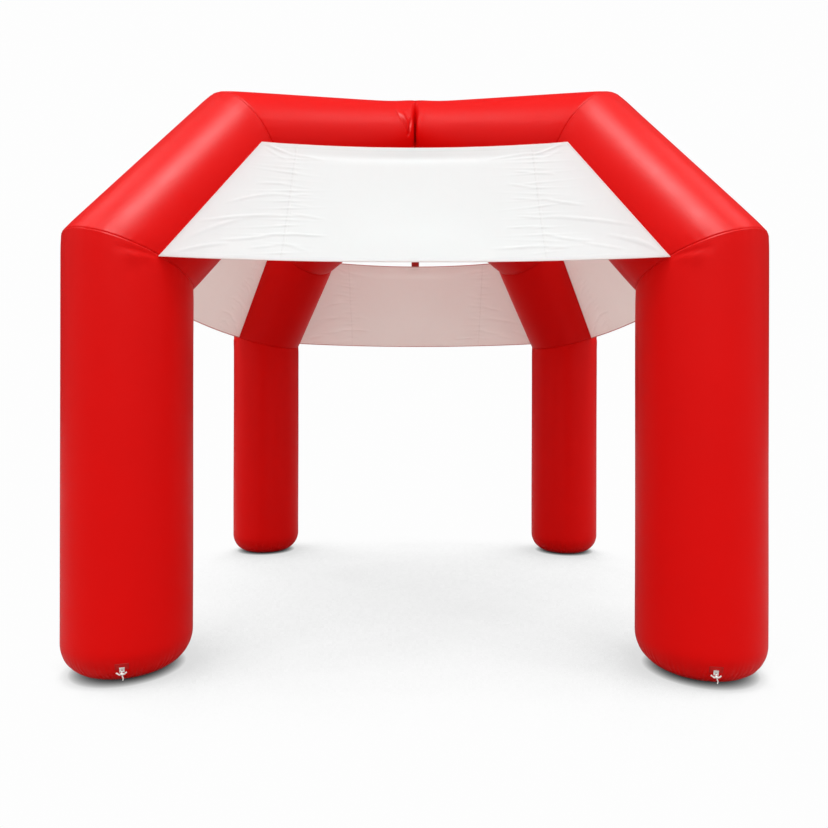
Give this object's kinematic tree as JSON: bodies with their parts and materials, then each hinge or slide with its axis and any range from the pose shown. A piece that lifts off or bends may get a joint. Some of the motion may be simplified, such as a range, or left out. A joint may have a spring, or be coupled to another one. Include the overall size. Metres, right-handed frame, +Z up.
{
  "type": "inflatable event tent",
  "caption": "Open-sided inflatable event tent: fat air-filled legs bend into leaning rafters and arms that meet at a crown, with slanted cloth banners between the rafters.",
  "frame": {"origin": "on the floor under the crown, in the middle between the legs", "axes": "+Z up, -Y towards the front banner, +X to the right for someone who looks at the front"},
  "size_m": [4, 4, 4.0874],
  "materials": {
    "tube_fabric": "coated woven fabric, satin",
    "banner_cloth": "thin plain-woven cloth, matt",
    "strap_fabric": "coated woven strap, satin",
    "patch_fabric": "coated woven patch, satin",
    "tie_webbing": "ribbed webbing, matt"
  },
  "bodies": {
    "root": {"leg_front_left": "tube_fabric", "leg_front_right": "tube_fabric", "leg_back_right": "tube_fabric", "leg_back_left": "tube_fabric", "rafter_front_left": "tube_fabric", "rafter_front_right": "tube_fabric", "rafter_back_right": "tube_fabric", "rafter_back_left": "tube_fabric", "arm_front_left": "tube_fabric", "arm_front_right": "tube_fabric", "arm_back_right": "tube_fabric", "arm_back_left": "tube_fabric", "banner_front_centre": "banner_cloth", "banner_front_gore_left": "banner_cloth", "banner_front_gore_right": "banner_cloth", "banner_right_centre": "banner_cloth", "banner_right_gore_left": "banner_cloth", "banner_right_gore_right": "banner_cloth", "banner_back_centre": "banner_cloth", "banner_back_gore_left": "banner_cloth", "banner_back_gore_right": "banner_cloth", "banner_left_centre": "banner_cloth", "banner_left_gore_left": "banner_cloth", "banner_left_gore_right": "banner_cloth", "strap_front": "strap_fabric", "strap_right": "strap_fabric", "strap_back": "strap_fabric", "strap_left": "strap_fabric", "tie_patch_front_left": "patch_fabric", "tie_patch_front_right": "patch_fabric", "tie_patch_back_right": "patch_fabric", "tie_patch_back_left": "patch_fabric", "tie_tab_front_left": "tie_webbing", "tie_tab_front_right": "tie_webbing", "tie_tab_back_right": "tie_webbing", "tie_tab_back_left": "tie_webbing", "tie_front_left": "tie_webbing", "tie_front_right": "tie_webbing", "tie_back_right": "tie_webbing", "tie_back_left": "tie_webbing"}
  },
  "joints": []
}
